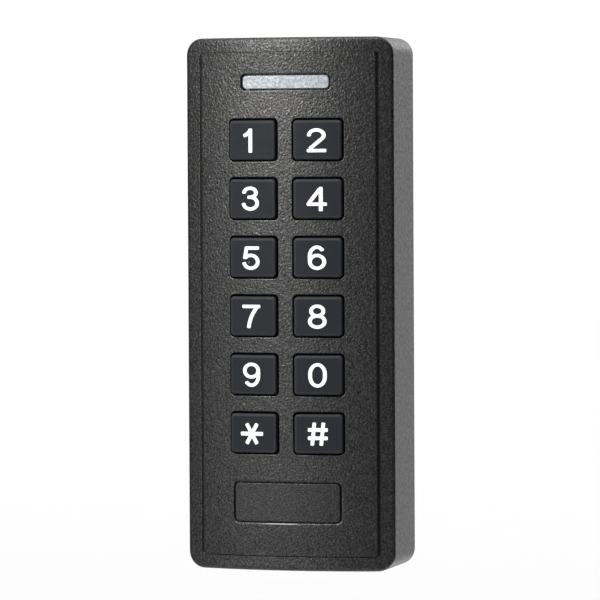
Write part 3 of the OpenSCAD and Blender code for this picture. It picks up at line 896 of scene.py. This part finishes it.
def noise(tree, size, detail=2.0, stretch=(1, 1, 1), offset=0.0):
    """Noise whose features are about size millimetres across, fixed to the object."""
    space = tree.nodes.new("ShaderNodeTexCoord")
    mapping = tree.nodes.new("ShaderNodeMapping")
    mapping.inputs["Scale"].default_value = stretch
    mapping.inputs["Location"].default_value = (offset * MM, 0, 0)
    tree.links.new(space.outputs["Object"], mapping.inputs["Vector"])
    node = tree.nodes.new("ShaderNodeTexNoise")
    node.inputs["Scale"].default_value = 1 / (size * MM)
    node.inputs["Detail"].default_value = detail
    tree.links.new(mapping.outputs["Vector"], node.inputs["Vector"])
    return node.outputs["Fac"]


def spread(tree, value, low, high, start=0.3, end=0.7):
    """Maps the stretch of a value from start to end to a range, by default the middle of a noise."""
    node = tree.nodes.new("ShaderNodeMapRange")
    node.inputs["From Min"].default_value = start
    node.inputs["From Max"].default_value = end
    node.inputs["To Min"].default_value = low
    node.inputs["To Max"].default_value = high
    tree.links.new(value, node.inputs["Value"])
    return node.outputs["Result"]


def edges(tree, low, high):
    """How much a point lies on an outward edge, from the mesh's own shape."""
    geometry = tree.nodes.new("ShaderNodeNewGeometry")
    return spread(tree, geometry.outputs["Pointiness"], 0, 1, low, high)


def blend_colours(tree, factor, under, over):
    """A mix of two colours, the first of which may be another node's output."""
    node = tree.nodes.new("ShaderNodeMix")
    node.data_type = "RGBA"
    tree.links.new(factor, node.inputs["Factor"])
    if isinstance(under, bpy.types.NodeSocket):
        tree.links.new(under, node.inputs["A"])
    else:
        node.inputs["A"].default_value = (*under, 1)
    node.inputs["B"].default_value = (*over, 1)
    return node.outputs["Result"]


def bump(tree, height, distance, under=None):
    """A relief of distance millimetres, on top of another relief if there is one."""
    node = tree.nodes.new("ShaderNodeBump")
    node.inputs["Distance"].default_value = distance * MM
    tree.links.new(height, node.inputs["Height"])
    if under is not None:
        tree.links.new(under, node.inputs["Normal"])
    return node.outputs["Normal"]


def finish(name, colour, rough, metal=0.0, specular=0.5, grain=0.5, relief=0.004, tint=0.12,
           coat=0.0, wear_and_sheen=0.35, brink=(0.52, 0.62), stretch=(1, 1, 1)):
    """A general surface: mottled colour, uneven gloss, a grain with a finer one on it, and paler edges
    that stand for wear and, where they are strong, for a painted highlight.

    Grain is the size of the grain's features and relief its height, both in millimetres. Tint is how
    far the colour varies; the amount of paler edge gives wear and, when large, a painted highlight on
    rims; brink is where on an edge that paling begins and ends.
    """
    made, tree, body = shader(name)
    dark = [c * (1 - tint) for c in colour]
    light = [min(1, c * (1 + tint)) for c in colour]
    # paler edge colour: wear, and on the keys' rims a painted highlight
    worn_and_lit = [min(1, c * 1.5 + 0.02) for c in colour]
    mottled = blend_colours(tree, spread(tree, noise(tree, size=7.0, detail=3.0), 0, 1), dark, light)
    edge = spread(tree, edges(tree, *brink), 0, wear_and_sheen, start=0, end=1)
    tree.links.new(blend_colours(tree, edge, mottled, worn_and_lit), body.inputs["Base Color"])
    uneven = 0.06
    patches = noise(tree, size=3.0, detail=4.0)
    gloss = spread(tree, patches, max(0.02, rough - uneven), min(1, rough + uneven))
    tree.links.new(gloss, body.inputs["Roughness"])
    coarse = bump(tree, noise(tree, grain, detail=3.0, stretch=stretch), relief)
    fine = bump(tree, noise(tree, size=0.12, stretch=stretch), relief / 3, coarse)
    tree.links.new(fine, body.inputs["Normal"])
    body.inputs["Metallic"].default_value = metal
    body.inputs["Specular IOR Level"].default_value = specular
    body.inputs["Coat Weight"].default_value = coat
    return made


def spark_plastic(name, size, deep, dark, light):
    """Moulded plastic with a spark-eroded texture: sharp little pits and hills of size millimetres."""
    made, tree, body = shader(name)
    hills = spread(tree, noise(tree, size, detail=1.5), 0, 1)
    pits = noise(tree, size * 0.75, detail=1.0, offset=40)
    gloss = spread(tree, noise(tree, size=0.9, detail=3.0), 0.30, 0.46)
    tree.links.new(gloss, body.inputs["Roughness"])
    shine = spread(tree, pits, 0.3, 0.8, start=0.35, end=0.65)
    tree.links.new(shine, body.inputs["Specular IOR Level"])
    mottled = blend_colours(tree, spread(tree, pits, 0, 1, start=0.35, end=0.65), dark, light)
    tree.links.new(mottled, body.inputs["Base Color"])
    coarse = bump(tree, hills, deep)
    fine = bump(tree, noise(tree, size=0.16), 0.012, coarse)
    tree.links.new(fine, body.inputs["Normal"])
    return made


SPARKED = {
    "lens_plastic": dict(
        size=0.75, deep=0.05, dark=(0.25, 0.297, 0.337), light=(0.38, 0.398, 0.411)),
    "cover_plastic": dict(
        size=0.52, deep=0.05, dark=(0.009, 0.0087, 0.0086), light=(0.0175, 0.0170, 0.0168)),
    "badge_plastic": dict(
        size=0.4, deep=0.03, dark=(0.011, 0.0107, 0.0106), light=(0.0175, 0.0170, 0.0169)),
}

BOARD = dict(rough=0.3, grain=1.2, relief=0.004, tint=0.2, coat=0.3)
FINISHES = {
    # the keys' strong paler rims are a painted highlight along their rounded edges, not wear
    "key_rubber": dict(colour=(0.0152, 0.0176, 0.0205), rough=0.55, specular=0.12, grain=0.35,
                       relief=0.01, tint=0.06, wear_and_sheen=0.75, brink=(0.503, 0.54)),
    "legend_ink": dict(colour=(0.9, 0.9, 0.89), rough=0.5, grain=0.4, relief=0.001, tint=0.01),
    "mat_silicone": dict(colour=(0.07, 0.08, 0.09), rough=0.6),
    "spring_steel": dict(colour=(0.70, 0.70, 0.69), rough=0.28, metal=1.0, relief=0.001),
    "led_package": dict(colour=(0.85, 0.84, 0.78), rough=0.35, tint=0.04),
    "clear_plastic": dict(colour=(0.80, 0.84, 0.88), rough=0.15, relief=0.001, tint=0.02, coat=0.3),
    "black_plastic": dict(colour=(0.02, 0.02, 0.02), rough=0.45),
    "copper_wire": dict(colour=(0.72, 0.38, 0.20), rough=0.35, metal=1.0, grain=0.2, relief=0.01),
    "board_green": dict(colour=(0.02, 0.13, 0.06), **BOARD),
    "board_blue": dict(colour=(0.02, 0.07, 0.16), **BOARD),
    "zinc_steel": dict(colour=(0.62, 0.62, 0.60), rough=0.34, metal=1.0, relief=0.002, tint=0.1),
    "stainless_steel": dict(colour=(0.66, 0.66, 0.66), rough=0.26, metal=1.0, relief=0.001,
                            stretch=(1, 1, 8)),
    "chip_resin": dict(colour=(0.022, 0.022, 0.024), rough=0.55, grain=0.15, relief=0.004),
    "ferrite_core": dict(colour=(0.06, 0.055, 0.055), rough=0.7, grain=0.3, relief=0.008),
    "tin_plate": dict(colour=(0.68, 0.69, 0.70), rough=0.3, metal=1.0, relief=0.002),
    "capacitor_can": dict(colour=(0.72, 0.73, 0.74), rough=0.32, metal=1.0, relief=0.001),
    "header_plastic": dict(colour=(0.74, 0.71, 0.62), rough=0.45, tint=0.04),
    "gold_pins": dict(colour=(0.83, 0.66, 0.32), rough=0.22, metal=1.0, relief=0.001),
    "window_red": dict(colour=(0.20, 0.02, 0.03), rough=0.18, relief=0.001, coat=0.4),
    "rear_cover_plastic": dict(colour=(0.03, 0.03, 0.03), rough=0.5, grain=0.4, relief=0.012),
    "gasket_silicone": dict(colour=(0.28, 0.29, 0.30), rough=0.65, grain=0.4, relief=0.004),
    "grommet_rubber": dict(colour=(0.026, 0.026, 0.028), rough=0.6, specular=0.35, grain=0.35,
                           relief=0.008),
    "adhesive_tape": dict(colour=(0.80, 0.78, 0.70), rough=0.6, grain=0.25, relief=0.01, tint=0.05),
    "plate_plastic": dict(colour=(0.04, 0.041, 0.045), rough=0.46, grain=0.4, relief=0.014),
    # second finishes, for the faces that are marked for them: the pip and the openings' walls
    # the pip's paler colour is a painted glint on it; its lower roughness and higher specular are its
    # real gloss
    "pip_rubber": dict(colour=(0.05, 0.053, 0.057), rough=0.2, specular=0.8, grain=0.4, relief=0.001),
    "cover_smooth_edge": dict(colour=(0.0135, 0.013, 0.0126), rough=0.22, specular=0.6, relief=0.002),
}


def dress(obj, *made):
    """Gives an object its material, and a second one for the faces that are marked for it."""
    marks = [polygon.material_index for polygon in obj.data.polygons]
    obj.data.materials.clear()
    for material in made:
        obj.data.materials.append(material)
    if len(made) > 1:
        obj.data.polygons.foreach_set("material_index", marks)


# ---------------------------------------------------------------- stage, light and camera, in metres

# azimuths are in degrees from the reader's front, -Y, towards +X
AZIMUTH, ELEVATION, ROLL = 15.878, 1.999, -0.2876
DISTANCE = 1.02036
LENS = 256.03
SENSOR = 36
AIM = Vector((-2.777, -0.790, 0.303)) * MM

# white surroundings, and dark cards beside the reader for its sides to reflect
SKY, SKY_COLOUR = 1.06, (1, 0.985, 0.982)
DARK_CARDS = {"dark_card_right": (-4, 147), "dark_card_left": (-168, -44)}
CARD_R, CARD_LO, CARD_HI = 0.9, -0.28, 0.75
CARD_PARTS = 24
CARD_COLOUR = (0.004, 0.004, 0.004)
FLOOR_HALF, FLOOR_Z = 8.0, -0.3
FLOOR_DARK, FLOOR_LIGHT = (0.945, 0.955, 0.965), (0.965, 0.975, 0.985)

LIGHTS = {
    "softbox": dict(azimuth=-21, elevation=27, distance=0.38, size=(0.10, 0.2), power=1.15,
                    colour=(1, 0.985, 0.97)),
    "top_light": dict(azimuth=-8, elevation=64, distance=0.6, size=(0.4, 0.3), power=1.4),
    "back_light": dict(azimuth=158, elevation=30, distance=0.45, size=(0.2, 0.2), power=0.2),
    "low_light": dict(azimuth=145, elevation=-50, distance=0.34, size=(0.2, 0.2), power=0.35),
}


def towards(azimuth, elevation):
    """The direction from the reader to a place at an azimuth and an elevation, in radians."""
    level = math.cos(elevation)
    return Vector((math.sin(azimuth) * level, -math.cos(azimuth) * level, math.sin(elevation)))


def card(name, azimuths):
    """A curved upright card round the object, from one azimuth to another, that the camera can't see."""
    bm = bmesh.new()
    rows = []
    for step in range(CARD_PARTS + 1):
        turn = math.radians(azimuths[0] + (azimuths[1] - azimuths[0]) * step / CARD_PARTS)
        x, y = CARD_R * math.sin(turn), -CARD_R * math.cos(turn)
        rows.append([bm.verts.new((x, y, z)) for z in (CARD_LO, CARD_HI)])
    for a, b in zip(rows, rows[1:]):
        bm.faces.new((a[0], b[0], b[1], a[1]))
    obj = in_scene(name, mesh_from(name, bm))
    obj.visible_camera = False
    return obj


def stage():
    """A pale floor well below the hanging reader, dark cards at its two sides and white surroundings."""
    bm = bmesh.new()
    signs = ((-1, -1), (1, -1), (1, 1), (-1, 1))
    bm.faces.new([bm.verts.new((sx * FLOOR_HALF, sy * FLOOR_HALF, FLOOR_Z)) for sx, sy in signs])
    floor = in_scene("floor", mesh_from("floor", bm))
    made, tree, body = shader("floor_paper")
    pale = blend_colours(tree, noise(tree, size=60.0, detail=3.0), FLOOR_DARK, FLOOR_LIGHT)
    tree.links.new(pale, body.inputs["Base Color"])
    body.inputs["Roughness"].default_value = 0.9
    dress(floor, made)

    made, tree, body = shader("card_black")
    body.inputs["Base Color"].default_value = (*CARD_COLOUR, 1)
    body.inputs["Specular IOR Level"].default_value = 0.0
    body.inputs["Roughness"].default_value = 1.0
    flags = [card(name, azimuths) for name, azimuths in DARK_CARDS.items()]
    for flag in flags:
        dress(flag, made)

    world = bpy.data.worlds.new("studio")
    world.use_nodes = True
    sky = world.node_tree.nodes["Background"]
    sky.inputs["Color"].default_value = (*SKY_COLOUR, 1)
    sky.inputs["Strength"].default_value = SKY
    bpy.context.scene.world = world


def soft_light(name, azimuth, elevation, distance, size, power, colour=(1, 1, 1)):
    """A rectangular soft light that faces the reader."""
    lamp = bpy.data.lights.new(name, "AREA")
    lamp.shape = "RECTANGLE"
    lamp.size, lamp.size_y = size
    lamp.energy = power
    lamp.color = colour
    obj = in_scene(name, lamp)
    back = towards(math.radians(azimuth), math.radians(elevation))
    obj.location = back * distance
    obj.rotation_mode = "QUATERNION"
    obj.rotation_quaternion = back.to_track_quat("Z", "Y")
    obj.visible_camera = False


def camera():
    """A long lens in front of the reader, a little to its right and above it."""
    azimuth, elevation, roll = (math.radians(turn) for turn in (AZIMUTH, ELEVATION, ROLL))
    back = towards(azimuth, elevation)
    right = Vector((math.cos(azimuth), math.sin(azimuth), 0))
    up = back.cross(right)
    across = right * math.cos(roll) + up * math.sin(roll)
    upright = up * math.cos(roll) - right * math.sin(roll)
    data = bpy.data.cameras.new("camera")
    data.sensor_width = SENSOR
    data.lens = LENS
    obj = in_scene("camera", data)
    pose = Matrix((across, upright, back)).transposed().to_4x4()
    pose.translation = AIM + back * DISTANCE
    obj.matrix_world = pose
    bpy.context.scene.camera = obj


camera()
stage()
for name, settings in LIGHTS.items():
    soft_light(name, **settings)
bpy.context.scene.view_settings.view_transform = "Standard"

# ---------------------------------------------------------------- putting it together

materials = {slot: finish(slot, **look) for slot, look in FINISHES.items()}
materials.update({slot: spark_plastic(slot, **look) for slot, look in SPARKED.items()})
slots = {part["node"]: part["material_slot"] for part in frame["record"]["subparts"]}

for node, obj in frame["nodes"].items():
    dress(obj, materials[slots[node]])


def stand_in(piece, node, body="housing", second=()):
    """Lets a piece stand for a CAD node, in the node's finish and a second one for its marked faces."""
    dress(piece, materials[slots[node]], *[materials[name] for name in second])
    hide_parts(node)
    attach(piece, body)


stand_in(front_cover(), "front_cover", second=["cover_smooth_edge"])
stand_in(light_bar_lens(), "led_lens")
stand_in(badge(), "badge_plate")
stand_in(mounting_plate(), "mounting_plate")
for node, legend in KEYS.items():
    stand_in(key_cap(node), node, node, second=["pip_rubber"] if node == "key_5" else [])
    ink = legend_print(node, legend)
    dress(ink, materials["legend_ink"])
    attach(ink, node)
